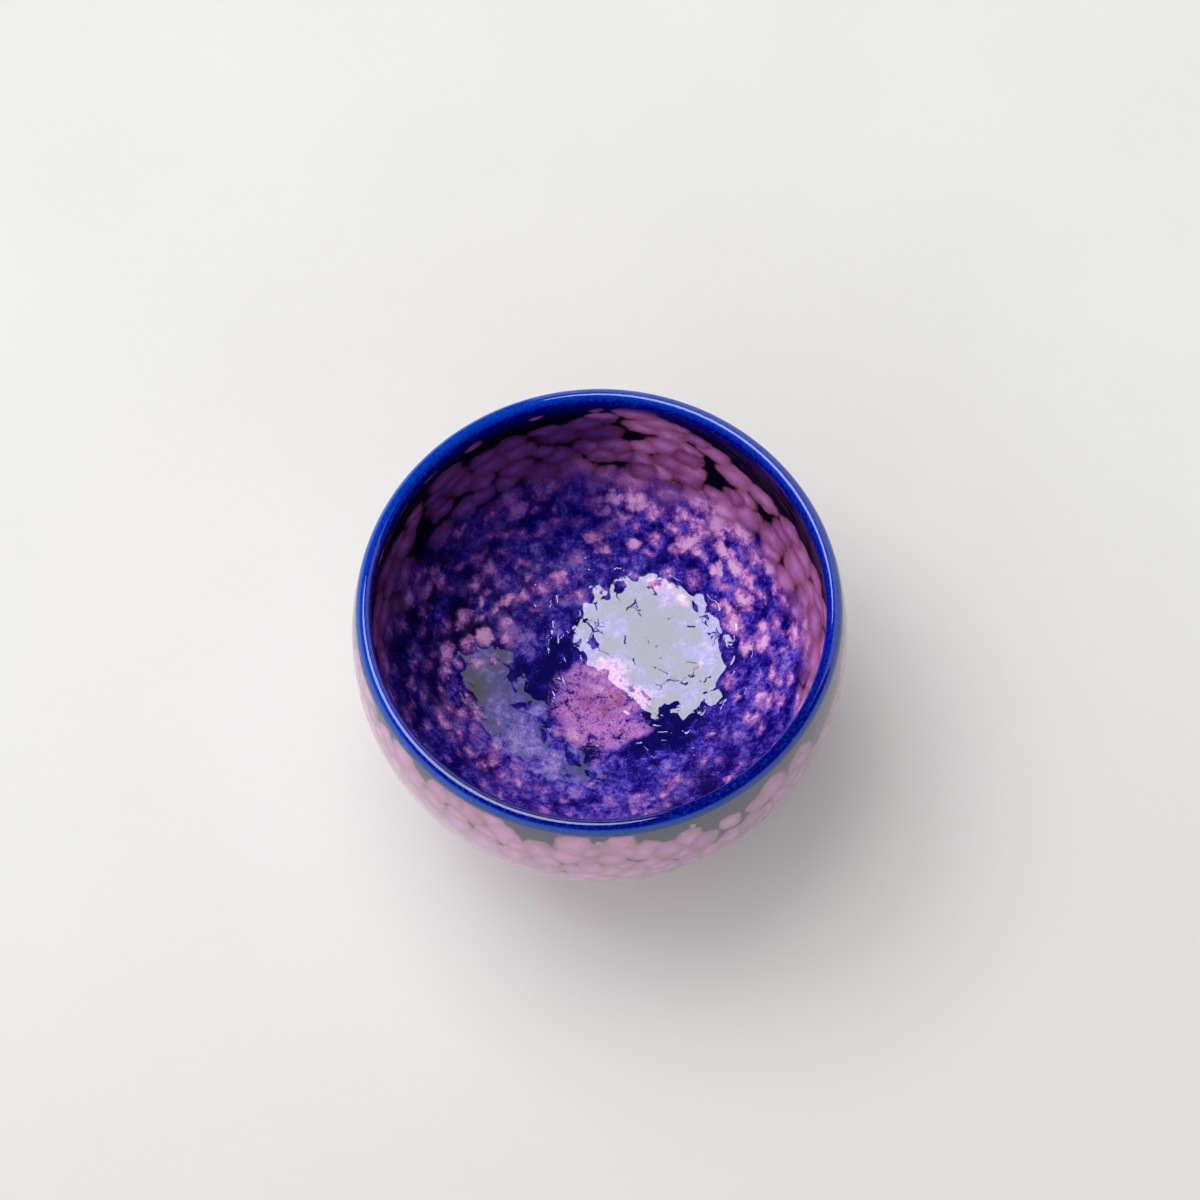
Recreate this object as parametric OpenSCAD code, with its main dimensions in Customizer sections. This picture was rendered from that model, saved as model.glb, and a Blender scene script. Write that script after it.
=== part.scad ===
// Sake cup: a thrown porcelain bowl on a turned foot ring, dipped in navy glaze with dappled pink drops.
// Millimetres, +Z up. The foot stands on z = 0 and the cup is turned about the Z axis.

/* [Bowl] */
// Largest outside diameter of the bowl, glaze included
belly_d = 64; // [56:0.5:72]
// Height from the widest level to the top of the lip
rim_rise = 9.8; // [8:0.1:13]
// Radius of the wall's curve above the widest level
shoulder_r = 47; // [36:1:70]
// Thickness of the finished wall, which the half-round lip closes
wall_t = 2.1; // [1.6:0.1:2.8]
// Thickness of the finished floor at its centre, from the foot's top up
floor_t = 4; // [3:0.1:6]

/* [Foot] */
// Outside diameter of the glazed foot
foot_d = 28.4; // [24:0.2:34]
// Height of the foot ring
foot_h = 5; // [4.4:0.1:7]
// Thickness of the foot ring's clay
foot_wall_t = 2.8; // [2:0.1:4]
// Width of the bowl's ledge round the top of the foot
foot_ledge = 0.25; // [0.1:0.05:1]
// Rounding of the two edges that meet the table
foot_edge_r = 0.6; // [0.2:0.1:0.9]
// Height of the unglazed clay above the table
bare_h = 1.2; // [1:0.1:2]

/* [Glaze] */
// Thickness of the glaze on the walls and over the lip
coat_t = 0.35; // [0.2:0.05:0.5]
// Thickness of the glaze at the centre of the floor, where it has run together
floor_coat_t = 0.7; // [0.5:0.05:1]
// Thickness of the glaze in the foot's well
well_coat_t = 0.3; // [0.2:0.05:0.5]
// Rounding of the glaze in the corner of the well
well_cove_r = 0.9; // [0.5:0.1:1.5]
// Depth of the pink glaze that has pooled on the floor
pool_depth = 0.45; // [0.3:0.05:0.8]

/* [Drops] */
// Height that a drop stands above the coat
drop_t = 0.12; // [0.06:0.02:0.3]
// Diameter of the drops on the outside
outer_drop_d = 3.4; // [2.4:0.1:3.8]
// Distance between the rings of drops on the outside
outer_ring_step = 4.2; // [4:0.1:6]
// Distance from the top of the lip to the first ring of drops on the outside
outer_first_drop = 5; // [4:0.1:7]
// Number of rings of drops on the outside
outer_rings = 8; // [1:1:9]
// Diameter of the drops on the inside
inner_drop_d = 2.6; // [2:0.1:2.8]
// Distance between the rings of drops on the inside
inner_ring_step = 3.4; // [3.2:0.1:5]
// Distance from the top of the lip to the first ring of drops on the inside
inner_first_drop = 5; // [4:0.1:7]
// Number of rings of drops on the inside
inner_rings = 7; // [1:1:8]
// Free glaze between two drops of one ring
drop_gap = 1.5; // [1:0.1:3]
// Clearance of a drop's flat back from the hollow's curve behind it
drop_seat = 0.06; // [0.05:0.01:0.1]
// Width of a drop's top as a share of its foot
drop_top_share = 0.8; // [0.5:0.05:1]

/* [Form] */
// How full the hollow's lower curve is: 2 is an ellipse, and more is squarer
hollow_fullness = 2.25; // [2:0.05:2.5]
// Degrees that one step of an outline turns
arc_step = 3; // [1.5:0.5:6]
// Number of sides that a round is drawn with
round_sides = 128; // [48:8:192]

/* [Hidden] */

belly_r = belly_d / 2;
foot_r = foot_d / 2;
lip_r = wall_t / 2;
foot_clay_r = foot_r - coat_t;
foot_inner_r = foot_clay_r - foot_wall_t;
seat_r = foot_clay_r + foot_ledge;
// Level of the widest ring: the clay ball of the lower bowl is cut flat where it seats on the foot
belly_z = foot_h + sqrt(pow(belly_r - coat_t, 2) - pow(seat_r, 2));
// Centre of the curve of the upper wall, in the plane of the outline
shoulder_c = [belly_r - shoulder_r, belly_z];
// Angle at the shoulder's centre up to where the lip starts
lip_angle = asin((rim_rise - lip_r) / (shoulder_r - lip_r));
lip_c = shoulder_c + (shoulder_r - lip_r) * [cos(lip_angle), sin(lip_angle)];
hollow_r = belly_r - wall_t;
hollow_depth = belly_z - foot_h - floor_t;
half_turn = 180;
quarter_turn = 90;
// Length of the lip's curve on one side of its top
lip_run = PI / 2 * lip_r;

// Points of an arc round centre c from angle a0 to angle a1
function arc(c, r, a0, a1, steps = 0) =
    let (n = steps > 0 ? steps : max(2, ceil(abs(a1 - a0) / arc_step)))
    [for (i = [0 : n]) let (a = a0 + (a1 - a0) * i / n) c + r * [cos(a), sin(a)]];

// Outside of the cup from the level z_low up to the lip, moved in by inset
function outside_line(inset, z_low) = concat(
    arc([0, belly_z], belly_r - inset, asin((z_low - belly_z) / (belly_r - inset)), 0),
    arc(shoulder_c, shoulder_r - inset, 0, lip_angle)
);

// Half-round of the lip, from the outer wall over to the inner one
function lip_line(inset) = arc(lip_c, lip_r - inset, lip_angle, lip_angle + half_turn, round_sides / 8);

// Lower curve of the hollow, from the wall down to the axis
function bowl_line(r, depth) = let (n = ceil(quarter_turn / arc_step), p = 2 / hollow_fullness)
    [for (i = [0 : n])
        let (a = quarter_turn * (1 - i / n))
        [r * pow(sin(a), p), belly_z - depth * pow(cos(a), p)]];

// Inside of the cup from the lip down to the axis, moved into the wall by inset and down by floor_inset
function inside_line(inset, floor_inset) = concat(
    arc(shoulder_c, shoulder_r - wall_t + inset, lip_angle, 0),
    bowl_line(hollow_r + inset, hollow_depth + floor_inset)
);

// Distance from the centre of the belly's plane to the hollow's lower curve, at an angle below level
function hollow_reach(a) =
    pow(pow(cos(a) / hollow_r, hollow_fullness) + pow(sin(a) / hollow_depth, hollow_fullness),
        -1 / hollow_fullness);

// How far the hollow's surface faces below level there
function hollow_slope(a) = atan2(
    pow(sin(a) / hollow_depth, hollow_fullness - 1) / hollow_depth,
    pow(cos(a) / hollow_r, hollow_fullness - 1) / hollow_r);

// The points in reverse order, so that two lines close into one outline
function reversed(points) = [for (i = [len(points) - 1 : -1 : 0]) points[i]];

// How many drops of a diameter go round a ring, always an even number
function drops_round(ring_r, drop_d) = 2 * floor(PI * ring_r / (drop_d + drop_gap));

module turned() {
    rotate_extrude($fn = round_sides) children();
}

module clay_bowl() {
    color("whitesmoke")
    turned()
    polygon(concat(
        [[0, foot_h]],
        outside_line(coat_t, foot_h),
        lip_line(coat_t),
        inside_line(coat_t, floor_coat_t)
    ));
}

module foot_ring() {
    outer_edge = [foot_clay_r - foot_edge_r, foot_edge_r];
    inner_edge = [foot_inner_r + foot_edge_r, foot_edge_r];
    color("linen")
    turned()
    polygon(concat(
        [[foot_inner_r, foot_h], [foot_clay_r, foot_h]],
        arc(outer_edge, foot_edge_r, 0, -quarter_turn, round_sides / 16),
        arc(inner_edge, foot_edge_r, -quarter_turn, -half_turn, round_sides / 16)
    ));
}

module inner_glaze() {
    color("midnightblue")
    turned()
    polygon(concat(
        inside_line(coat_t, floor_coat_t),
        reversed(inside_line(0, 0))
    ));
}

module outer_glaze() {
    corner_z = belly_z - sqrt(pow(belly_r, 2) - pow(foot_r, 2));
    color("midnightblue")
    turned()
    polygon(concat(
        [[foot_clay_r, bare_h], [foot_r, bare_h]],
        outside_line(0, corner_z),
        reversed(outside_line(coat_t, foot_h)),
        [[foot_clay_r, foot_h]]
    ));
}

module rim_glaze() {
    color("mediumblue")
    turned()
    polygon(concat(lip_line(0), reversed(lip_line(coat_t))));
}

module well_glaze() {
    lining_r = foot_inner_r - well_coat_t;
    ceiling_z = foot_h - well_coat_t;
    cove_c = [lining_r - well_cove_r, ceiling_z - well_cove_r];
    color("navy")
    turned()
    polygon(concat(
        [[0, foot_h], [foot_inner_r, foot_h], [foot_inner_r, bare_h], [lining_r, bare_h]],
        arc(cove_c, well_cove_r, 0, quarter_turn, round_sides / 16),
        [[0, ceiling_z]]
    ));
}

// Pink glaze that has run down to the middle of the floor and stands level there
module centre_pool() {
    floor_z = belly_z - hollow_depth;
    color("orchid")
    turned()
    intersection() {
        polygon(concat([[0, belly_z]], bowl_line(hollow_r, hollow_depth)));
        translate([0, floor_z]) square([hollow_r, pool_depth]);
    }
}

// One ring of drops: each stands on the surface at point p, aimed at an angle above level
module drop_ring(p, angle, drop_d, turn_share) {
    count = drops_round(p[0], drop_d);
    for (i = [0 : count - 1])
        rotate([0, 0, (i + turn_share) * 2 * half_turn / count])
        translate([p[0], 0, p[1]])
        rotate([0, quarter_turn - angle, 0])
        cylinder(d1 = drop_d, d2 = drop_d * drop_top_share, h = drop_t, $fn = round_sides / 4);
}

// Rings of drops on the outside, staggered from ring to ring
module outer_drops() {
    shoulder_run = shoulder_r * lip_angle * PI / half_turn;
    color("plum")
    for (ring = [0 : outer_rings - 1]) {
        run = outer_first_drop + ring * outer_ring_step - lip_run;
        on_shoulder = run < shoulder_run;
        c = on_shoulder ? shoulder_c : [0, belly_z];
        r = on_shoulder ? shoulder_r : belly_r;
        angle = (shoulder_run - run) / r * half_turn / PI;
        drop_ring(c + r * [cos(angle), sin(angle)], angle, outer_drop_d, ring % 2 / 2);
    }
}

// Rings of drops on the inside, staggered from ring to ring
module inner_drops() {
    wall_r = shoulder_r - wall_t;
    wall_run = wall_r * lip_angle * PI / half_turn;
    color("orchid")
    for (ring = [0 : inner_rings - 1]) {
        run = inner_first_drop + ring * inner_ring_step - lip_run;
        below = run > wall_run;
        turn = (wall_run - run) / (below ? hollow_r : wall_r) * half_turn / PI;
        angle = below ? -hollow_slope(-turn) : turn;
        p = below ? [0, belly_z] + hollow_reach(-turn) * [cos(turn), sin(turn)]
                  : shoulder_c + wall_r * [cos(turn), sin(turn)];
        seat = p - drop_seat * [cos(angle), sin(angle)];
        drop_ring(seat, angle - half_turn, inner_drop_d, ring % 2 / 2);
    }
}

clay_bowl();
foot_ring();
inner_glaze();
outer_glaze();
rim_glaze();
well_glaze();
centre_pool();
inner_drops();
outer_drops();
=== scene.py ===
# The looks of a glazed sake cup: coats of glaze with their drops, the blue lip, bare clay, and the studio.
import math

import bpy
import numpy as np
from mathutils import Matrix, Vector


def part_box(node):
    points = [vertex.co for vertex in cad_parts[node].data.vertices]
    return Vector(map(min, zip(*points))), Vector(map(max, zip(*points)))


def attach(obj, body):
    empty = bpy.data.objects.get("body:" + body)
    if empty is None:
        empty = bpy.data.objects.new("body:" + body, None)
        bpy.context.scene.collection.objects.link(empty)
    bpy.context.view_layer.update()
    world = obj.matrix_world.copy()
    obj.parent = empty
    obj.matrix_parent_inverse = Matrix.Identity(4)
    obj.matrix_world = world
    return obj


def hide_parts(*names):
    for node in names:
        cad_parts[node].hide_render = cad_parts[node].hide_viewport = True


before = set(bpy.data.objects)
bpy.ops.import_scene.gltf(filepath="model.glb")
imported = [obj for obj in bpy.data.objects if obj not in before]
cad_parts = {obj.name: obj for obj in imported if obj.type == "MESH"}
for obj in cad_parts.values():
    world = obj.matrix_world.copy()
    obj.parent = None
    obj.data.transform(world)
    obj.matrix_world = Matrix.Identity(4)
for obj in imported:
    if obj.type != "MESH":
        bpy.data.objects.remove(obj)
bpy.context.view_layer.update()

MM = 0.001
SEED = 11

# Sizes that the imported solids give
BELLY_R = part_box("outer_glaze")[1][0]
LIP_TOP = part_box("rim_glaze")[1][2]
COAT_T = BELLY_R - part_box("clay_bowl")[1][0]
FOOT_CLAY_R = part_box("foot_ring")[1][0]
FOOT_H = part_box("foot_ring")[1][2]
BARE_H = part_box("outer_glaze")[0][2]
FLOOR_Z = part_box("centre_pool")[0][2]
POOL_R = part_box("centre_pool")[1][0]
WELL_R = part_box("well_glaze")[1][0]

# Sizes of the turned outline that no box gives
WALL_T = 2.1 * MM
RIM_RISE = 9.8 * MM
SHOULDER_R = 47 * MM
FLOOR_COAT_T = 2 * COAT_T
WELL_COAT_T = 0.3 * MM
WELL_COVE_R = 0.9 * MM
HOLLOW_FULLNESS = 2.25

LIP_R = WALL_T / 2
FOOT_R = FOOT_CLAY_R + COAT_T
BELLY_Z = LIP_TOP - RIM_RISE
HOLLOW_R = BELLY_R - WALL_T
HOLLOW_DEPTH = BELLY_Z - FLOOR_Z
SHOULDER_X = BELLY_R - SHOULDER_R
INNER_SHOULDER_R = SHOULDER_R - WALL_T
LIP_ANGLE = math.asin((RIM_RISE - LIP_R) / (SHOULDER_R - LIP_R))
LIP_X = SHOULDER_X + (SHOULDER_R - LIP_R) * math.cos(LIP_ANGLE)
LIP_Z = BELLY_Z + (SHOULDER_R - LIP_R) * math.sin(LIP_ANGLE)
LIP_RUN = LIP_R * math.pi / 2

# The lip's skin of glaze is drawn up to a crest, an ellipse that starts a little lower on the wall
CREST_RISE = 1.75 * MM
CREST_ANGLE = LIP_ANGLE
CREST_ROUNDS = 20
for _ in range(CREST_ROUNDS):
    CREST_REACH = math.hypot(LIP_R * math.sin(CREST_ANGLE), CREST_RISE * math.cos(CREST_ANGLE))
    CREST_ANGLE = math.asin((RIM_RISE - CREST_REACH) / (SHOULDER_R - LIP_R))
CREST_RUN = LIP_RUN + (LIP_ANGLE - CREST_ANGLE) * SHOULDER_R

# Small rounded edges where the glaze ends above the bare clay
FOOT_GLAZE_EDGE = 0.12 * MM
FOOT_GLAZE_EDGE_H = 0.15 * MM
WELL_GLAZE_EDGE = 0.1 * MM
WELL_GLAZE_EDGE_H = 0.12 * MM

# Mesh fineness
TURN_STEPS = 600
WELL_TURN_STEPS = 160
FINE_STEP = 0.34 * MM
BACK_STEP = 3 * MM
INSIDE_BACK_STEP = 6 * MM
UNDER_LIP_STEP = 0.4 * MM
UNDER_CREST_STEP = 0.3 * MM
COVE_STEP = 0.2 * MM
CREST_STEPS = 26
EDGE_STEP = 0.03 * MM
MERGE_STEP = 0.001 * MM
CURVE_SAMPLES = 4000


# Outlines in the plane of radius and height

def arc(cx, cz, r, a0, a1, step):
    n = max(2, math.ceil(abs(a1 - a0) * r / step))
    return [(cx + r * math.cos(a0 + (a1 - a0) * i / n), cz + r * math.sin(a0 + (a1 - a0) * i / n))
            for i in range(n + 1)]


def hollow_curve(r, depth, step):
    """Lower curve of the hollow, from the wall down to the axis, in even steps."""
    p = 2 / HOLLOW_FULLNESS
    a = np.linspace(math.pi / 2, 0, CURVE_SAMPLES)
    x = r * np.sin(a) ** p
    z = BELLY_Z - depth * np.maximum(np.cos(a), 0) ** p
    run = np.concatenate([[0], np.cumsum(np.hypot(np.diff(x), np.diff(z)))])
    even = np.linspace(0, run[-1], max(2, math.ceil(run[-1] / step)) + 1)
    return list(zip(np.interp(even, run, x), np.interp(even, run, z)))


def held(line):
    """The line with one more point close to each end, which keeps the shading of its face to itself."""
    first, second, third, last = (np.array(p) for p in (line[0], line[1], line[-2], line[-1]))
    near_first = first + (second - first) * EDGE_STEP / np.linalg.norm(second - first)
    near_last = last + (third - last) * EDGE_STEP / np.linalg.norm(third - last)
    return [line[0], tuple(near_first)] + line[1:-1] + [tuple(near_last), line[-1]]


def inside_curve(inset, floor_inset, step):
    upper = arc(SHOULDER_X, BELLY_Z, INNER_SHOULDER_R + inset, CREST_ANGLE, 0, step)
    return held(upper[:-1] + hollow_curve(HOLLOW_R + inset, HOLLOW_DEPTH + floor_inset, step))


def outside_curve(inset, low_z, step):
    r = BELLY_R - inset
    lower = arc(0, BELLY_Z, r, math.asin((low_z - BELLY_Z) / r), 0, step)
    return held(lower[:-1] + arc(SHOULDER_X, BELLY_Z, SHOULDER_R - inset, 0, CREST_ANGLE, step))


def crest_line():
    """The lip's outside from the outer wall over to the inner one."""
    middle_x = SHOULDER_X + (SHOULDER_R - LIP_R) * math.cos(CREST_ANGLE)
    middle_z = BELLY_Z + (SHOULDER_R - LIP_R) * math.sin(CREST_ANGLE)
    points = []
    for i in range(CREST_STEPS + 1):
        a = math.pi * i / CREST_STEPS
        aside, up = LIP_R * math.cos(a), CREST_RISE * math.sin(a)
        points.append((middle_x + aside * math.cos(CREST_ANGLE) - up * math.sin(CREST_ANGLE),
                       middle_z + aside * math.sin(CREST_ANGLE) + up * math.cos(CREST_ANGLE)))
    return points


# Turning a piece, and reading and moving its surface

def turned(name, outline, steps):
    """A closed outline of (radius, height) points, spun once round the cup's axis."""
    for selected in bpy.context.selected_objects:
        selected.select_set(False)
    bpy.ops.mesh.primitive_circle_add(vertices=len(outline), radius=BELLY_R, fill_type="NOTHING")
    piece = bpy.context.object
    piece.name = name
    piece.data.name = name
    for vertex, (r, z) in zip(piece.data.vertices, outline):
        vertex.co = (r, 0, z)
    turn = piece.modifiers.new("turn", "SCREW")
    turn.steps = turn.render_steps = steps
    turn.use_merge_vertices = True
    turn.merge_threshold = MERGE_STEP
    bpy.ops.object.modifier_apply(modifier="turn")
    bpy.ops.object.mode_set(mode="EDIT")
    bpy.ops.mesh.select_all(action="SELECT")
    bpy.ops.mesh.remove_doubles(threshold=MERGE_STEP)
    bpy.ops.mesh.normals_make_consistent(inside=False)
    bpy.ops.object.mode_set(mode="OBJECT")
    bpy.ops.object.shade_smooth()
    return piece


def surface(piece):
    """The vertices of a piece, and the radius and height of each."""
    co = np.empty(len(piece.data.vertices) * 3)
    piece.data.vertices.foreach_get("co", co)
    co = co.reshape(-1, 3)
    return co, np.hypot(co[:, 0], co[:, 1]), co[:, 2]


def raise_surface(piece, co, height):
    """Moves each vertex out along its normal by its own height."""
    normals = np.empty(len(co) * 3, dtype=np.float32)
    piece.data.vertex_normals.foreach_get("vector", normals)
    co = co + normals.reshape(-1, 3) * height[:, None]
    piece.data.vertices.foreach_set("co", co.ravel())
    piece.data.update()


def keep_field(piece, name, values):
    """Keeps a number for each vertex, which a material can read."""
    field = piece.data.attributes.new(name, "FLOAT", "POINT")
    field.data.foreach_set("value", np.ascontiguousarray(values, dtype=np.float32))


def split_materials(piece, second):
    """Gives the second material to the faces whose first vertex is marked."""
    corner = np.empty(len(piece.data.loops), dtype=np.int32)
    piece.data.loops.foreach_get("vertex_index", corner)
    first = np.empty(len(piece.data.polygons), dtype=np.int32)
    piece.data.polygons.foreach_get("loop_start", first)
    piece.data.polygons.foreach_set("material_index", second[corner[first]].astype(np.int32))


# Shapes of change over the surface

def smooth(edge0, edge1, x):
    """0 up to the first edge and 1 from the second, with a soft step between; the edges may fall."""
    t = np.clip((x - edge0) / (edge1 - edge0), 0, 1)
    return t * t * (3 - 2 * t)


def band(x, rise, fall):
    """1 between two soft steps."""
    return smooth(*rise, x) * smooth(*fall, x)


def azimuths(co):
    """Degrees round the cup: 0 is its right, 90 its back and -90 its front."""
    return np.degrees(np.arctan2(co[:, 1], co[:, 0]))


def facing(co, azimuth, width):
    """1 on the side at this azimuth, fading to 0 within about the width in degrees either way."""
    aside = (azimuths(co) - azimuth + 180) % 360 - 180
    return np.exp(-(aside / width) ** 2)


def sides(co, *amounts):
    """Sum of amounts, each given as its azimuth, width and amount."""
    return sum(amount * facing(co, azimuth, width) for azimuth, width, amount in amounts)


RIPPLE_WAVES = 28
RIPPLE_SPREAD = (0.7, 1.6)
RIPPLE_SCALE = 7


def ripples(co, size, seed):
    """Seeded noise of about -1 to 1 over the points: many plane waves near one length."""
    rng = np.random.default_rng(seed)
    total = np.zeros(len(co))
    for _ in range(RIPPLE_WAVES):
        way = rng.normal(size=3)
        way *= 2 * math.pi / (np.linalg.norm(way) * size * rng.uniform(*RIPPLE_SPREAD))
        total += np.sin(co @ way + rng.uniform(0, 2 * math.pi))
    return total / RIPPLE_SCALE


# Where the drops of glaze lie

def inside_run(r, z):
    """Length along the inside from the top of the lip."""
    start = LIP_RUN + INNER_SHOULDER_R * LIP_ANGLE
    curve = np.array(hollow_curve(HOLLOW_R, HOLLOW_DEPTH, FINE_STEP))
    run = np.concatenate([[0], np.cumsum(np.hypot(*np.diff(curve, axis=0).T))])
    turn = np.arctan2(BELLY_Z - curve[:, 1], curve[:, 0])
    upper = start - INNER_SHOULDER_R * np.arctan2(z - BELLY_Z, r - SHOULDER_X)
    lower = start + np.interp(np.arctan2(BELLY_Z - z, r), turn, run)
    return np.where(z > BELLY_Z, upper, lower)


def outside_run(r, z):
    """Length along the outside from the top of the lip."""
    start = LIP_RUN + SHOULDER_R * LIP_ANGLE
    upper = start - SHOULDER_R * np.arctan2(z - BELLY_Z, r - SHOULDER_X)
    lower = start + BELLY_R * np.arctan2(BELLY_Z - z, r)
    return np.where(z > BELLY_Z, upper, lower)


def reach_from(centre, points, stretch):
    """Distance of the points from a drop's middle, less along the ring where drops are longer."""
    away = points - centre
    ring_way = np.array([-centre[1], centre[0], 0]) / max(math.hypot(centre[0], centre[1]), MM)
    along = away @ ring_way
    squared = np.sum(away * away, axis=1) - along ** 2 * (1 - 1 / stretch ** 2)
    return np.sqrt(np.maximum(squared, 0))


DROP_TRIES = 14000
STRAY_TRIES = 9000
SIZE_SPREAD = (0.7, 1.25)
# Shares of their two radii that drops keep between their middles, and what the floor's drops add
DROP_ROOM = 0.56
FLOOR_DROP_ROOM = 0.08


def scatter(points, rng, tries, stretch, sizes_at, room_at, keep_at):
    """Drop centres picked from the points, each with room for its own size."""
    centres = np.empty((0, 3))
    sizes = np.empty(0)
    for index in rng.integers(0, len(points), tries):
        size = sizes_at[index] * rng.uniform(*SIZE_SPREAD)
        if rng.random() > keep_at[index]:
            continue
        if np.any(reach_from(points[index], centres, stretch) < room_at[index] * (sizes + size)):
            continue
        centres = np.vstack([centres, points[index]])
        sizes = np.append(sizes, size)
    return centres, sizes


def add_strays(drops, points, rng, stretch, size, room, keep):
    """The drops with small ones strewn near the lip."""
    even = np.ones(len(points))
    centres, sizes = scatter(points, rng, STRAY_TRIES, stretch, size * even, room * even, keep)
    return np.vstack([drops[0], centres]), np.append(drops[1], sizes)


# Distances from a drop's middle, in its own radii
FAR_OFF = 4.0
SEARCH_REACH = 3
OVERLAP = (1.06, 0.76)


def drop_fields(co, stretch, centres, sizes, tones):
    """Nearest distance in drop radii, and shade and tone of the drops laid over each other in turn."""
    near = np.full(len(co), FAR_OFF)
    shade = np.full(len(co), 1.0)
    tone = np.full(len(co), 0.5)
    order = np.argsort(co[:, 2])
    levels = co[order, 2]
    for centre, size, own in zip(centres, sizes, tones):
        reach = SEARCH_REACH * size
        low, high = np.searchsorted(levels, (centre[2] - reach, centre[2] + reach))
        close = order[low:high]
        d = reach_from(centre, co[close], stretch) / size
        near[close] = np.minimum(near[close], d)
        over = smooth(*OVERLAP, d)
        shade[close] += (d - shade[close]) * over
        tone[close] += (own - tone[close]) * over
    return near, shade, tone


def lay_drops(piece, co, rng, stretch, drops, waver, seeds):
    """Keeps the fields of drops with wavering edges on the piece, and gives the nearest distance."""
    centres, sizes = drops
    length, reach = waver
    warp = np.stack([ripples(co, length, seed) for seed in seeds], axis=1) * reach
    near, shade, tone = drop_fields(co + warp, stretch, centres, sizes, rng.random(len(centres)))
    keep_field(piece, "drop", near)
    keep_field(piece, "shade", shade)
    keep_field(piece, "tone", tone)
    return near


# Materials

class Glaze:
    """A short way to write a material's node tree."""

    def __init__(self, name, color):
        self.material = bpy.data.materials.new(name)
        self.material.use_nodes = True
        self.material.diffuse_color = (*color, 1)
        self.tree = self.material.node_tree
        self.shader = self.tree.nodes["Principled BSDF"]
        self.coords = self.add("ShaderNodeTexCoord").outputs["Object"]

    def add(self, kind, **settings):
        node = self.tree.nodes.new(kind)
        for key, value in settings.items():
            setattr(node, key, value)
        return node

    def link(self, value, socket):
        if hasattr(value, "is_output"):
            self.tree.links.new(value, socket)
        else:
            socket.default_value = value

    def math(self, operation, a, b):
        node = self.add("ShaderNodeMath", operation=operation)
        self.link(a, node.inputs[0])
        self.link(b, node.inputs[1])
        return node.outputs[0]

    def plus(self, first, *others):
        for other in others:
            first = self.math("ADD", first, other)
        return first

    def less(self, first, *others):
        for other in others:
            first = self.math("SUBTRACT", first, other)
        return first

    def times(self, first, *others):
        for other in others:
            first = self.math("MULTIPLY", first, other)
        return first

    def vector(self, operation, a, b=None):
        node = self.add("ShaderNodeVectorMath", operation=operation)
        self.link(a, node.inputs[0])
        if b is not None:
            self.link(b, node.inputs["Scale" if operation == "SCALE" else 1])
        return node.outputs["Value" if operation == "DOT_PRODUCT" else "Vector"]

    def field(self, name):
        return self.add("ShaderNodeAttribute", attribute_name=name).outputs["Fac"]

    def noise(self, size, detail, roughness=0.5, distortion=0.0, run=1.0):
        """Noise of a size, drawn out down the wall where run is under 1."""
        node = self.add("ShaderNodeTexNoise")
        self.link(self.vector("MULTIPLY", self.coords, (1, 1, run)), node.inputs["Vector"])
        node.inputs["Scale"].default_value = 1 / size
        node.inputs["Detail"].default_value = detail
        node.inputs["Roughness"].default_value = roughness
        node.inputs["Distortion"].default_value = distortion
        return node.outputs["Fac"]

    def grain(self, size, detail, roughness=0.5, distortion=0.0, run=1.0):
        """The same noise about zero."""
        return self.less(self.noise(size, detail, roughness, distortion, run), 0.5)

    def wander(self, size, reach):
        """The coordinates, led astray by noise of a size."""
        node = self.add("ShaderNodeTexNoise")
        self.link(self.coords, node.inputs["Vector"])
        node.inputs["Scale"].default_value = 1 / size
        node.inputs["Detail"].default_value = 1
        return self.vector("ADD", self.coords, self.vector("SCALE", node.outputs["Color"], reach))

    def spread(self, value, low, high, to_low=0.0, to_high=1.0):
        node = self.add("ShaderNodeMapRange", interpolation_type="SMOOTHSTEP")
        self.link(value, node.inputs["Value"])
        node.inputs["From Min"].default_value = low
        node.inputs["From Max"].default_value = high
        node.inputs["To Min"].default_value = to_low
        node.inputs["To Max"].default_value = to_high
        return node.outputs["Result"]

    def ramp(self, value, stops):
        node = self.add("ShaderNodeValToRGB")
        self.link(value, node.inputs["Fac"])
        marks = node.color_ramp.elements
        while len(marks) < len(stops):
            marks.new(0.5)
        for mark, (place, color) in zip(marks, stops):
            mark.position = place
            mark.color = (*color, 1)
        return node.outputs["Color"]

    def mix(self, share, a, b, blend="MIX"):
        node = self.add("ShaderNodeMix", data_type="RGBA", blend_type=blend)
        self.link(share, node.inputs["Factor"])
        self.link(a if hasattr(a, "is_output") else (*a, 1), node.inputs["A"])
        self.link(b if hasattr(b, "is_output") else (*b, 1), node.inputs["B"])
        return node.outputs["Result"]

    def bump(self, height, strength, distance, normal=None):
        node = self.add("ShaderNodeBump")
        self.link(height, node.inputs["Height"])
        if normal is not None:
            self.link(normal, node.inputs["Normal"])
        node.inputs["Strength"].default_value = strength
        node.inputs["Distance"].default_value = distance
        self.link(node.outputs["Normal"], self.shader.inputs["Normal"])

    def finish(self, color, roughness, ior):
        self.link(color, self.shader.inputs["Base Color"])
        self.shader.inputs["Roughness"].default_value = roughness
        self.shader.inputs["IOR"].default_value = ior
        return self.material


def shown(r, g, b):
    """An 8-bit display colour as the linear one that a shader takes."""
    return tuple(v / 255 / 12.92 if v / 255 <= 0.04045 else ((v / 255 + 0.055) / 1.055) ** 2.4
                 for v in (r, g, b))


# Shine
GLAZE_ROUGHNESS = 0.03
GLAZE_IOR = 1.68
LIP_IOR = 1.54
OUTSIDE_IOR = 2.0
# The photo shows hardly any mirror image high on the inner wall
UPPER_WALL_IOR = 1.04
CLAY_ROUGHNESS = 0.68
CLAY_IOR = 1.5
FLOOR_ROUGHNESS = 0.75
FLOOR_IOR = 1.2

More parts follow.
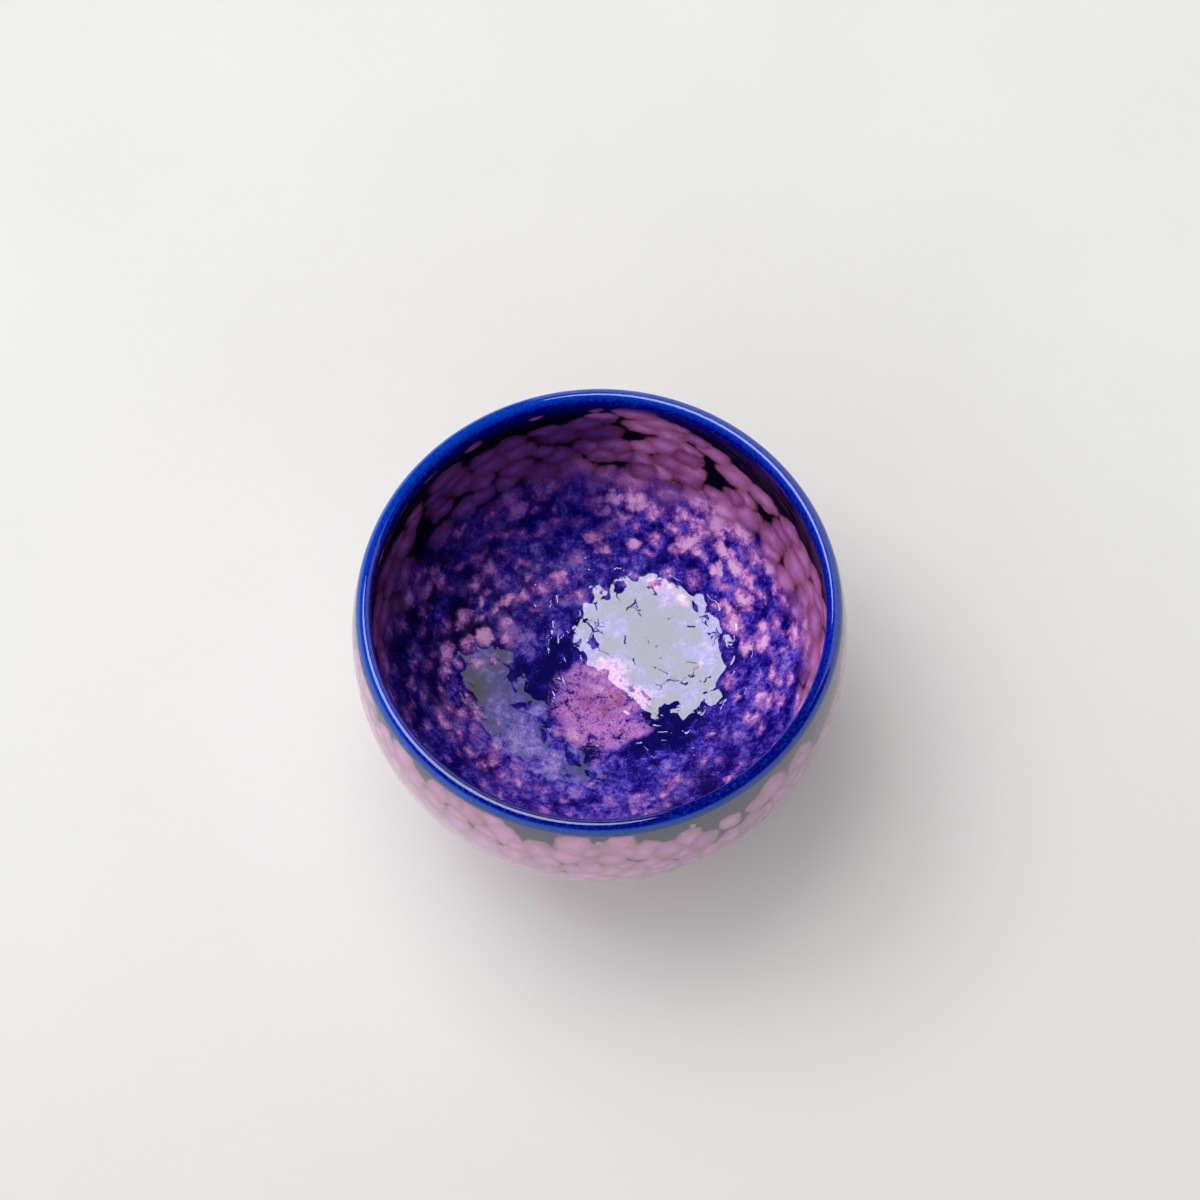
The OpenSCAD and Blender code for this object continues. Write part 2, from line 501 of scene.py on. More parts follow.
# Relief that is finer than the mesh
SKIN_RELIEF = 0.03 * MM
SWELL_SIZE = 3.5 * MM
CELL_SIZE = 2.0 * MM
CELL_LEAN = 0.055

# Colours of the glazes
NAVY = shown(6, 3, 34)
VEILED_NAVY = shown(44, 40, 70)
# Share of a milky colour over the outside's drops, partly the glaze's own tone and partly painted sheen
MILK_AND_SHEEN_SHARE = 0.42
# Painted shade, multiplied into the inside's left side
LEFT_SHADE_TINT = shown(140, 128, 184)
# Dark violet painted as shade round the inside's left side
SHADE_VIOLET = shown(24, 5, 60)
# Painted reflection of the pale floor on the lower belly
PALE_SHEEN = shown(204, 196, 206)
INNER_LIP_RUN_DOWN = shown(1, 6, 124)
OUTER_LIP_RUN_DOWN = shown(6, 36, 84)
PALE_DROP = shown(224, 146, 190)
DEEP_DROP = shown(118, 54, 108)
BROWN_EDGE = shown(92, 48, 62)
MILKY_SHEEN_DROP = shown(178, 144, 162)
BLUSH = shown(160, 88, 178)
PALE_HEART = shown(252, 212, 246)
DARK_SPECK = shown(84, 40, 150)
RUST = shown(150, 62, 92)
PALE_BLUE_FLECK = shown(0, 76, 184)

# A drop from its middle to its edge
DROP_STOPS = [
    (0.0, shown(214, 148, 230)),
    (0.34, shown(196, 118, 196)),
    (0.62, shown(172, 92, 156)),
    (0.86, shown(140, 70, 118)),
    (1.0, shown(106, 50, 86)),
]
# The floor's ground, from deep to thin
VIOLET_STOPS = [
    (0.08, shown(12, 8, 104)),
    (0.34, shown(46, 28, 160)),
    (0.58, shown(86, 66, 204)),
    (0.80, shown(136, 108, 224)),
    (1.0, shown(178, 146, 236)),
]
ROSE_STOPS = [
    (0.2, shown(196, 100, 212)),
    (0.5, shown(236, 152, 236)),
    (0.85, shown(252, 200, 252)),
]
# The lip, from its outer side over to its inner one
COBALT_STOPS = [
    (0.04, shown(16, 62, 136)),
    (0.12, shown(4, 72, 172)),
    (0.20, shown(1, 74, 190)),
    (0.36, shown(0, 54, 186)),
    (0.54, shown(0, 36, 180)),
    (0.68, shown(0, 16, 166)),
    (0.84, shown(1, 4, 142)),
    (1.0, shown(1, 1, 112)),
]
WELL_STOPS = [(0.3, shown(5, 3, 30)), (0.7, shown(16, 12, 74))]
CLAY_STOPS = [(0.3, shown(214, 205, 190)), (0.7, shown(235, 229, 218))]
CLAY_SPECK = shown(170, 148, 122)

# Vertical scale of the mottle, which has run down the wall
RUN_DOWN = 0.6


def crisp_drops(g, ground, milky_sheen):
    """Drops with a pale middle and a brown edge, laid over each other on the dark ground."""
    fine = g.grain(0.6 * MM, detail=3)
    coarse = g.grain(1.6 * MM, detail=2)
    body = g.ramp(g.plus(g.field("shade"), g.times(fine, 0.5), g.times(coarse, 0.5)), DROP_STOPS)
    paler = g.mix(g.times(g.field("tone"), 0.35), body, PALE_DROP)
    deeper = g.mix(g.spread(g.field("tone"), 0.45, 0.0, 0, 0.5), paler, DEEP_DROP)
    rim = g.plus(g.field("drop"), g.times(fine, 0.22))
    browned = g.mix(g.spread(rim, 0.84, 0.99), deeper, BROWN_EDGE)
    # A milky colour over the drops, partly painted sheen; the inside gives none
    milky = g.mix(milky_sheen, browned, MILKY_SHEEN_DROP)
    return g.mix(g.spread(rim, 0.97, 1.06, 1, 0), ground, milky)


def feathered_drops(g):
    """Bloomed drops: small pink hearts in a mottle of violet and indigo."""
    mottle = g.grain(0.8 * MM, detail=6, roughness=0.62, distortion=0.2, run=RUN_DOWN)
    fine = g.grain(0.28 * MM, detail=3, roughness=0.6, run=RUN_DOWN)
    cloud = g.times(g.grain(2.6 * MM, detail=3, roughness=0.6, distortion=0.4, run=RUN_DOWN), 1.8)
    drift = g.times(g.grain(1.7 * MM, detail=3, roughness=0.6, distortion=0.6), 2.2)
    ragged = g.plus(g.times(mottle, 1.5), g.times(fine, 0.9))
    # The ground: violet where the glaze is thin, indigo where it is deep
    thinness = g.plus(g.less(g.plus(0.69, cloud, g.field("lift")), g.times(g.field("drop"), 0.3)), ragged)
    # Painted shade turns the ground dark violet round the left side, and a little at the front right
    violet = g.mix(g.field("violet_shade"), g.ramp(thinness, VIOLET_STOPS), SHADE_VIOLET)
    # The hearts: each reaches further where it is pale, rosy or lifted
    tone = g.plus(g.times(g.less(g.field("tone"), 0.5), 0.9), drift)
    reach = g.less(g.times(g.field("drop"), 1.3), tone, g.times(g.field("lift"), 1.5))
    reach = g.less(reach, g.times(ragged, 0.75), g.field("rosy"))
    rose = g.ramp(g.plus(0.5, ragged), ROSE_STOPS)
    color = g.mix(g.times(g.spread(reach, 0.85, 0.05), 0.65), violet, BLUSH)
    color = g.mix(g.spread(reach, 0.48, -0.36), color, rose)
    # The pool in the middle of the floor, the hearts' pale middles, dark specks and rusty spots
    patches = g.plus(ragged, g.times(cloud, 0.9))
    color = g.mix(g.times(g.spread(patches, -0.36, 0.08), g.field("specks")), color, rose)
    color = g.mix(g.times(g.spread(reach, 0.0, -0.7), 0.85), color, PALE_HEART)
    dark = g.plus(fine, g.times(mottle, 0.7))
    color = g.mix(g.times(g.spread(dark, 0.06, 0.17), g.field("specks")), color, DARK_SPECK)
    return g.mix(g.times(g.field("rust"), g.spread(ragged, -0.25, 0.15)), color, RUST)


def cell_relief(g):
    """Packed cells in the skin of the glaze: the way each faces, and the depth of the gaps between them."""
    place = g.wander(0.9 * MM, 0.5 * MM)
    cell = g.add("ShaderNodeTexVoronoi", feature="F1")
    edge = g.add("ShaderNodeTexVoronoi", feature="DISTANCE_TO_EDGE")
    for node in (cell, edge):
        g.link(place, node.inputs["Vector"])
        node.inputs["Scale"].default_value = 1 / CELL_SIZE
    lean = g.vector("SUBTRACT", cell.outputs["Color"], (0.5, 0.5, 0.5))
    lean = g.vector("SCALE", lean, g.times(g.field("cells"), CELL_LEAN))
    leaning = g.vector("ADD", g.add("ShaderNodeNewGeometry").outputs["Normal"], lean)
    unit = g.vector("NORMALIZE", leaning)
    groove = g.times(g.spread(edge.outputs["Distance"], 0.05, 0.0), 0.5)
    pit = g.times(g.spread(cell.outputs["Distance"], 0.52, 0.66), 1.2)
    gaping = g.spread(g.noise(2.4 * MM, detail=2), 0.54, 0.64)
    return unit, g.times(g.plus(groove, pit), gaping, g.field("cells"))


def glaze_swell(g):
    return g.times(g.noise(SWELL_SIZE, detail=2, roughness=0.4), 1.2)


def inside_glaze(name, ior):
    """Crisp drops on the wall that bloom lower down, under painted shade at the left."""
    g = Glaze(name, NAVY)
    color = g.mix(g.field("bloom"), crisp_drops(g, NAVY, 0.0), feathered_drops(g))
    # Painted shade: the inside's left side is multiplied darker
    color = g.mix(g.field("left_shade"), color, LEFT_SHADE_TINT, "MULTIPLY")
    color = g.mix(g.field("lip"), color, INNER_LIP_RUN_DOWN)
    normal, gaps = cell_relief(g)
    g.bump(g.less(glaze_swell(g), gaps), 1.0, SKIN_RELIEF, normal)
    return g.finish(color, GLAZE_ROUGHNESS, ior)


def outside_glaze():
    """Crisp drops under a milky layer that is partly painted sheen, and a painted reflection of the pale
    floor that grows down the belly.
    """
    g = Glaze("dappled_glaze_outside", NAVY)
    # Painted reflection of the pale floor grows down the belly, starting higher on the lit left; the drops
    # beneath carry a milky layer that is partly painted sheen
    color = g.mix(g.field("milky_sheen"), crisp_drops(g, VEILED_NAVY, MILK_AND_SHEEN_SHARE), PALE_SHEEN)
    color = g.mix(g.field("lip"), color, OUTER_LIP_RUN_DOWN)
    g.bump(glaze_swell(g), 1.0, SKIN_RELIEF)
    return g.finish(color, GLAZE_ROUGHNESS, OUTSIDE_IOR)


def cobalt_lip_glaze(name, ior):
    g = Glaze(name, shown(0, 40, 160))
    mottle = g.times(g.grain(0.42 * MM, detail=5, roughness=0.72), 1.3)
    color = g.ramp(g.plus(g.field("across"), mottle), COBALT_STOPS)
    flecks = g.times(g.spread(g.noise(0.5 * MM, detail=5, roughness=0.75), 0.5, 0.64), 0.6)
    return g.finish(g.mix(flecks, color, PALE_BLUE_FLECK), GLAZE_ROUGHNESS, ior)


def well_glaze():
    g = Glaze("well_navy_glaze", NAVY)
    color = g.ramp(g.noise(2.5 * MM, detail=5, roughness=0.6), WELL_STOPS)
    return g.finish(color, GLAZE_ROUGHNESS, GLAZE_IOR)


def bare_porcelain():
    g = Glaze("bare_porcelain", shown(226, 219, 206))
    grain = g.noise(0.18 * MM, detail=5, roughness=0.65)
    specks = g.spread(g.noise(0.45 * MM, detail=2, roughness=0.4), 0.68, 0.76)
    g.bump(grain, 0.35, SKIN_RELIEF)
    return g.finish(g.mix(specks, g.ramp(grain, CLAY_STOPS), CLAY_SPECK), CLAY_ROUGHNESS, CLAY_IOR)


# The coat inside: runs are lengths from the top of the lip, and sides are (azimuth, width, amount)

INSIDE_STRETCH = 1.3
# Wave length and reach of the waver in the drops' edges
INSIDE_WAVER = (2.4 * MM, 0.32 * MM)
INSIDE_DROP_R = 2.2 * MM
FLOOR_DROP_SHRINK = 0.7 * MM
WALL_TO_FLOOR = (18 * MM, 30 * MM)
INSIDE_START = 12.2 * MM
INSIDE_START_WAVE = 1.0 * MM
INSIDE_START_SIDES = ((77, 26, -6.2 * MM), (125, 24, -3.4 * MM))
INSIDE_START_FADE = 0.8 * MM
INSIDE_STRAY_R = 1.0 * MM
INSIDE_STRAY_RISE = (3.6 * MM, 3.9 * MM)
INSIDE_STRAY_FALL = (5.6 * MM, 5.2 * MM)
INSIDE_DROP_RISE = 0.09 * MM
BLOOMED_DROP_SINK = 0.06 * MM
RAGGED_EDGE = 1.6 * MM
UPPER_WALL_R = 20.5 * MM
BLOOM_RUNS = (19.5 * MM, 25 * MM)
BLOOM_LEFT_RUNS = (4.5 * MM, 1.5 * MM)
# Radii beyond the cup, for a patch that goes on to the wall
BEYOND_CUP = (3 * BELLY_R, 2 * BELLY_R)
# Paler and darker patches of the floor: azimuth, width, amount, and the radii where each starts and ends
FLOOR_PATCHES = (
    (-95, 30, 0.12, (9 * MM, 14 * MM), BEYOND_CUP),
    (125, 45, 0.12, (9 * MM, 14 * MM), BEYOND_CUP),
    (216, 26, 0.12, (8 * MM, 11 * MM), (19 * MM, 15 * MM)),
    (-62, 26, 0.16, (7 * MM, 9 * MM), (18 * MM, 14 * MM)),
    (45, 40, -0.4, (7 * MM, 9 * MM), (18 * MM, 13 * MM)),
)
RUST_SPOTS = 4
RUST_SPOT_R = 1.1 * MM


def inside_drops(points, r, run, rng):
    """Large drops down the wall, smaller ones on the floor, and strays near the lip at the back left."""
    lower = smooth(*WALL_TO_FLOOR, run)
    start = INSIDE_START + INSIDE_START_WAVE * ripples(points, 22 * MM, seed=31)
    start += sides(points, *INSIDE_START_SIDES)
    wet = smooth(-0.6, -0.1, ripples(points, 7 * MM, seed=32) + 1.5 * lower + facing(points, 5, 32))
    keep = r / HOLLOW_R * smooth(start, start + INSIDE_START_FADE, run) * wet
    radii = INSIDE_DROP_R - FLOOR_DROP_SHRINK * lower
    room = DROP_ROOM + FLOOR_DROP_ROOM * lower
    drops = scatter(points, rng, DROP_TRIES, INSIDE_STRETCH, radii, room, keep)
    strays = band(run, INSIDE_STRAY_RISE, INSIDE_STRAY_FALL) * facing(points, 135, 34)
    return add_strays(drops, points, rng, stretch=1.7, size=INSIDE_STRAY_R, room=2.0, keep=strays)


def bloom_fields(piece, co, r, run):
    """Keeps where the drops bloom and how rosy they are, and gives the bloom and the split of the shine."""
    ragged = (ripples(co, 4 * MM, seed=5) + ripples(co, 18 * MM, seed=6)) * RAGGED_EDGE
    left = facing(co, 145, 52)
    start, end = (level - back * left for level, back in zip(BLOOM_RUNS, BLOOM_LEFT_RUNS))
    bloom = smooth(start, end, run + ragged)
    rosy = facing(co, 44, 54) * smooth(36 * MM, 25 * MM, run + ragged)
    clear = smooth(17 * MM, 12 * MM, r) * smooth(POOL_R * 0.8, POOL_R * 1.2, r)
    keep_field(piece, "bloom", bloom)
    keep_field(piece, "rosy", 0.55 * rosy - 0.7 * clear - 0.3 * facing(co, -50, 35))
    return bloom, r + 0.4 * ragged > UPPER_WALL_R


def floor_fields(piece, co, r, run):
    """Pale in the middle of the floor, dark in a broken ring round it, and in patches beyond."""
    ring = r + ripples(co, 4 * MM, seed=7) * 1.3 * MM
    pool = smooth(POOL_R, POOL_R * 0.7, ring)
    moat = band(ring, (POOL_R * 0.85, POOL_R * 1.1), (POOL_R * 2, POOL_R * 1.3))
    moat *= smooth(0.0, 0.7, np.sin(2 * np.radians(azimuths(co)) + 2.8) + 0.3 * ripples(co, 9 * MM, seed=8))
    lift = 0.14 * ripples(co, 7 * MM, seed=9) + 0.2 * pool - 0.55 * moat
    for azimuth, width, amount, rise, fall in FLOOR_PATCHES:
        lift += amount * facing(co, azimuth, width) * band(r, rise, fall)
    keep_field(piece, "lift", lift)
    keep_field(piece, "specks", pool * 0.9)
    keep_field(piece, "cells", smooth(9 * MM, 13 * MM, run) * smooth(0.6 * POOL_R, POOL_R, ring))


def rust_field(piece, co, points, rng):
    spots = points[np.hypot(points[:, 0], points[:, 1]) < POOL_R * 0.7]
    rust = np.zeros(len(co))
    for index in rng.integers(0, len(spots), RUST_SPOTS):
        rust = np.maximum(rust, np.exp(-np.sum((co - spots[index]) ** 2, axis=1) / RUST_SPOT_R ** 2))
    keep_field(piece, "rust", rust * 0.8)


def painted_shade_fields(piece, co, r, run):
    """Painted shade: the glaze is darkened round the left side, where the inner wall is in shadow, and a
    little at the front right.
    """
    azimuth = azimuths(co) % 360 + 8 * ripples(co, 14 * MM, seed=35)
    left_shade = band(azimuth, (80, 98), (226, 168)) * (1 - 0.4 * smooth(128, 158, azimuth))
    left_shade *= smooth(18 * MM, 26 * MM, r) * smooth(5.5 * MM, 8 * MM, run)
    keep_field(piece, "left_shade", np.clip((1.3 + 0.3 * ripples(co, 4 * MM, seed=34)) * left_shade, 0, 1))
    violet_shade = 0.62 * facing(co, 160, 52) * smooth(9 * MM, 17 * MM, r) * (1 - 0.7 * facing(co, 216, 26))
    violet_shade = np.maximum(violet_shade, 0.36 * facing(co, -48, 32) * smooth(12 * MM, 18 * MM, r))
    keep_field(piece, "violet_shade", np.clip((1 + 0.75 * ripples(co, 4.5 * MM, seed=36)) * violet_shade, 0, 1))


def inside_coat():
    front = inside_curve(0, 0, FINE_STEP)
    back = inside_curve(COAT_T, FLOOR_COAT_T, INSIDE_BACK_STEP)
    piece = turned("inside_coat", front + back[::-1], TURN_STEPS)
    co, r, z = surface(piece)
    run = inside_run(r, z)
    depth = np.maximum(BELLY_Z - z, 0)
    low = (r / HOLLOW_R) ** HOLLOW_FULLNESS + (depth / HOLLOW_DEPTH) ** HOLLOW_FULLNESS < 1.003
    high = np.hypot(r - SHOULDER_X, z - BELLY_Z) < INNER_SHOULDER_R + COAT_T / 4
    face = np.where(z > BELLY_Z, high, low)
    rng = np.random.default_rng(SEED)
    drops = inside_drops(co[face], r[face], run[face], rng)
    near = lay_drops(piece, co, rng, INSIDE_STRETCH, drops, INSIDE_WAVER, seeds=(1, 2, 3))
    rust_field(piece, co, co[face], rng)
    bloom, upper_wall = bloom_fields(piece, co, r, run)
    floor_fields(piece, co, r, run)
    painted_shade_fields(piece, co, r, run)
    keep_field(piece, "lip", smooth(CREST_RUN + 4.2 * MM, CREST_RUN - 0.3 * MM, run))
    dome = np.clip(1 - near ** 2, 0, 1) * smooth(1.8 * MM, 3 * MM, run)
    raise_surface(piece, co, (INSIDE_DROP_RISE - BLOOMED_DROP_SINK * bloom) * dome * face)
    piece.data.materials.append(inside_glaze("dappled_glaze_floor", GLAZE_IOR))
    piece.data.materials.append(inside_glaze("dappled_glaze_upper_wall", UPPER_WALL_IOR))
    split_materials(piece, upper_wall)
    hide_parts("inner_glaze", "inner_drops", "centre_pool")
    return piece


# The coat outside

OUTSIDE_STRETCH = 0.86
OUTSIDE_WAVER = (2.6 * MM, 0.3 * MM)
OUTSIDE_DROP_R = 2.5 * MM
OUTSIDE_START = 5.4 * MM
OUTSIDE_START_WAVE = 1.5 * MM
OUTSIDE_START_SIDES = ((-45, 40, 1.6 * MM), (228, 32, -1.8 * MM))
OUTSIDE_START_FADE = 1 * MM
OUTSIDE_STRAY_R = 0.5 * MM
OUTSIDE_STRAY_RISE = (3.4 * MM, 3.6 * MM)
OUTSIDE_STRAY_FALL = (4.2 * MM, 4.0 * MM)
OUTSIDE_DROP_RISE = 0.05 * MM
# Painted sheen: its level, the runs over which it grows down the belly, and how much higher it starts on
# the lit left
PAINTED_SHEEN_LEVEL = 0.45
PAINTED_SHEEN_RUNS = (12 * MM, 25 * MM)
PAINTED_SHEEN_LEFT_RUNS = (5 * MM, 9 * MM)


def outside_drops(points, r, run, rng):
    """Drops packed down the belly, and tiny strays near the lip at the front."""
    start = OUTSIDE_START + OUTSIDE_START_WAVE * ripples(points, 11 * MM, seed=21)
    start += sides(points, *OUTSIDE_START_SIDES)
    wet = smooth(10 * MM, 18 * MM, run) + facing(points, 222, 30)
    wet = smooth(-0.5, -0.1, ripples(points, 8 * MM, seed=22) + wet)
    keep = r / BELLY_R * smooth(start, start + OUTSIDE_START_FADE, run) * wet
    even = np.ones(len(points))
    radii = OUTSIDE_DROP_R * even
    drops = scatter(points, rng, DROP_TRIES, OUTSIDE_STRETCH, radii, DROP_ROOM * even, keep)
    strays = band(run, OUTSIDE_STRAY_RISE, OUTSIDE_STRAY_FALL) * facing(points, -86, 12)
    return add_strays(drops, points, rng, stretch=1.6, size=OUTSIDE_STRAY_R, room=1.6, keep=strays)


def outside_coat():
    corner_z = BELLY_Z - math.sqrt(BELLY_R ** 2 - FOOT_R ** 2)
    low_edge = BARE_H + FOOT_GLAZE_EDGE_H
    steps = math.ceil((corner_z - low_edge) / FINE_STEP)
    foot_wall = [(FOOT_CLAY_R, BARE_H), (FOOT_R - FOOT_GLAZE_EDGE, BARE_H)]
    foot_wall += [(FOOT_R, low_edge + (corner_z - low_edge) * i / steps) for i in range(steps)]
    front = foot_wall + outside_curve(0, corner_z, FINE_STEP)
    back = outside_curve(COAT_T, FOOT_H, BACK_STEP)
    piece = turned("outside_coat", front + back[::-1] + [(FOOT_CLAY_R, FOOT_H)], TURN_STEPS)
    co, r, z = surface(piece)
    run = outside_run(r, z)
    ball = np.hypot(r, z - BELLY_Z) > BELLY_R - COAT_T / 4
    shoulder = np.hypot(r - SHOULDER_X, z - BELLY_Z) > SHOULDER_R - COAT_T / 4
    face = np.where(z > BELLY_Z, shoulder, ball)
    rng = np.random.default_rng(SEED + 1)
    drops = outside_drops(co[face], r[face], run[face], rng)
    near = lay_drops(piece, co, rng, OUTSIDE_STRETCH, drops, OUTSIDE_WAVER, seeds=(11, 12, 13))
    keep_field(piece, "lip", smooth(CREST_RUN + 0.6 * MM, CREST_RUN - 0.1 * MM, run))
    # The painted sheen starts higher on the left, where the belly is lit
    left = facing(co, 215, 40)
    start, end = (level - up * left for level, up in zip(PAINTED_SHEEN_RUNS, PAINTED_SHEEN_LEFT_RUNS))
    keep_field(piece, "milky_sheen", PAINTED_SHEEN_LEVEL * smooth(start, end, run))
    raise_surface(piece, co, OUTSIDE_DROP_RISE * np.clip(1 - near ** 2, 0, 1) * face)
    piece.data.materials.append(outside_glaze())
    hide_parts("outer_glaze", "outer_drops")
    return piece


# The lip, the well and the clay

INNER_LIP_SHARE = 0.8


def lip_band():
    clay_outer = SHOULDER_R - COAT_T
    clay_inner = INNER_SHOULDER_R + COAT_T
    under = arc(SHOULDER_X, BELLY_Z, clay_outer, CREST_ANGLE, LIP_ANGLE, UNDER_LIP_STEP)[:-1]
    under += arc(LIP_X, LIP_Z, LIP_R - COAT_T, LIP_ANGLE, LIP_ANGLE + math.pi, UNDER_CREST_STEP)
    under += arc(SHOULDER_X, BELLY_Z, clay_inner, LIP_ANGLE, CREST_ANGLE, UNDER_LIP_STEP)[1:]
    piece = turned("lip_band", held(crest_line()) + under[::-1], TURN_STEPS)
    co, r, z = surface(piece)
    turn = np.arctan2(z - LIP_Z, r - LIP_X)
    turn = np.where(turn < -math.pi / 2, turn + 2 * math.pi, turn)
    across = np.clip((turn - LIP_ANGLE) / math.pi, 0, 1)
    # Painted shade deepens the blue at the front of the lip, and painted light pales it at the back
    azimuth = np.radians(azimuths(co))
    deeper = smooth(0.1, 0.8, np.cos(azimuth + math.radians(80)))
    outer = smooth(0.1, 0.26, across) * (1 - across)
    paler = 0.24 * smooth(0.1, 0.9, np.sin(azimuth)) * band(across, (0.3, 0.55), (1, 0.8))
    keep_field(piece, "across", across + deeper * outer - paler)
    piece.data.materials.append(cobalt_lip_glaze("cobalt_lip_glaze", LIP_IOR))
    piece.data.materials.append(cobalt_lip_glaze("cobalt_lip_inner_wall", UPPER_WALL_IOR))
    split_materials(piece, across > INNER_LIP_SHARE)
    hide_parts("rim_glaze")
    return piece


def well_lining():
    lining_r = WELL_R - WELL_COAT_T
    ceiling = FOOT_H - WELL_COAT_T
    cove = arc(lining_r - WELL_COVE_R, ceiling - WELL_COVE_R, WELL_COVE_R, 0, math.pi / 2, COVE_STEP)
    outline = [(0, FOOT_H), (WELL_R, FOOT_H), (WELL_R, BARE_H), (lining_r + WELL_GLAZE_EDGE, BARE_H)]
    outline += [(lining_r, BARE_H + WELL_GLAZE_EDGE_H)] + cove + [(0, ceiling)]
    piece = turned("well_lining", outline, WELL_TURN_STEPS)
    piece.data.materials.append(well_glaze())
    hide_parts("well_glaze")
    return piece


def dress_clay():
    clay = bare_porcelain()
    for name in ("clay_bowl", "foot_ring"):
        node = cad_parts[name]
        node.data.materials.clear()
        node.data.materials.append(clay)


# Studio: lengths in metres, ways from the cup, and radiances

LAMP_DISTANCE = 1.1
KEY_WAY = (-0.28, 0.19, 0.94)
KEY_SIZE = (0.8, 0.8)
KEY_RADIANCE = 2.63
GLEAM_WAY = (-0.37, -0.005, 0.94)
GLEAM_SIZE = (1.22, 1.0)
GLEAM_RADIANCE = 7.4
GLEAM_TURN = 50
CARD_DISTANCE = 1.2
CARD_AZIMUTH = 29
CARD_RADIANCE = 1.1
FILL_WAY = (-0.82, -0.45, 0.35)
FILL_EDGES = (-0.25, 1)
FILL_LEVEL = 1.07
DIM_LEVEL = 0.27
MIRRORED_LEVEL = 0.03
BACKDROP_LEVEL = 0.85
FLOOR_SIZE = 4
FLOOR_STOPS = [(0.35, shown(238, 238, 236)), (0.65, shown(241, 241, 239))]
FLOOR_SHADE = shown(231, 229, 228)
FLOOR_SHADE_WAY = (0.3, -0.95, 0)
FLOOR_SHADE_REACH = (-20 * MM, 90 * MM)


def floor():
    bpy.ops.mesh.primitive_plane_add(size=FLOOR_SIZE, location=(0, 0, 0))
    sheet = bpy.context.object
    sheet.name = "floor"
    g = Glaze("pale_floor", shown(240, 239, 237))
    color = g.ramp(g.noise(40 * MM, detail=4), FLOOR_STOPS)
    # Painted shade: the floor darkens toward the front right
    shade = g.spread(g.vector("DOT_PRODUCT", g.coords, FLOOR_SHADE_WAY), *FLOOR_SHADE_REACH)
    sheet.data.materials.append(g.finish(g.mix(shade, color, FLOOR_SHADE), FLOOR_ROUGHNESS, FLOOR_IOR))


def aim(thing, place, target, turn=0):
    """Puts a lamp or camera at its place, looking at the target, and turned about its line of sight."""
    look = (Vector(target) - Vector(place)).to_track_quat("-Z", "Y").to_matrix().to_4x4()
    thing.matrix_world = Matrix.Translation(place) @ look @ Matrix.Rotation(math.radians(turn), 4, "Z")


def area_lamp(name, size, radiance, shape="RECTANGLE"):
    """A flat lamp of an even radiance."""
    lamp = bpy.data.lights.new(name, "AREA")
    lamp.shape = shape
    lamp.size, lamp.size_y = size
    filled = math.pi / 4 if shape == "ELLIPSE" else 1
    lamp.energy = radiance * size[0] * size[1] * filled * math.pi
    box = bpy.data.objects.new(name, lamp)
    bpy.context.scene.collection.objects.link(box)
    return box


def wall_card(name, span, top):
    """An upright card that only the glaze reflects, as wide and high as tangents seen from the cup."""
    width, height = (span[1] - span[0]) * CARD_DISTANCE, top * CARD_DISTANCE
    card = area_lamp(name, (width, height), CARD_RADIANCE)
    a = math.radians(CARD_AZIMUTH)
    ahead = Vector((math.cos(a), math.sin(a), 0)) * CARD_DISTANCE
    aside = Vector((-math.sin(a), math.cos(a), 0)) * CARD_DISTANCE * (span[0] + span[1]) / 2
    place = ahead + aside + Vector((0, 0, height / 2 + LIP_TOP))
    aim(card, place, place - ahead)
    card.visible_diffuse = False


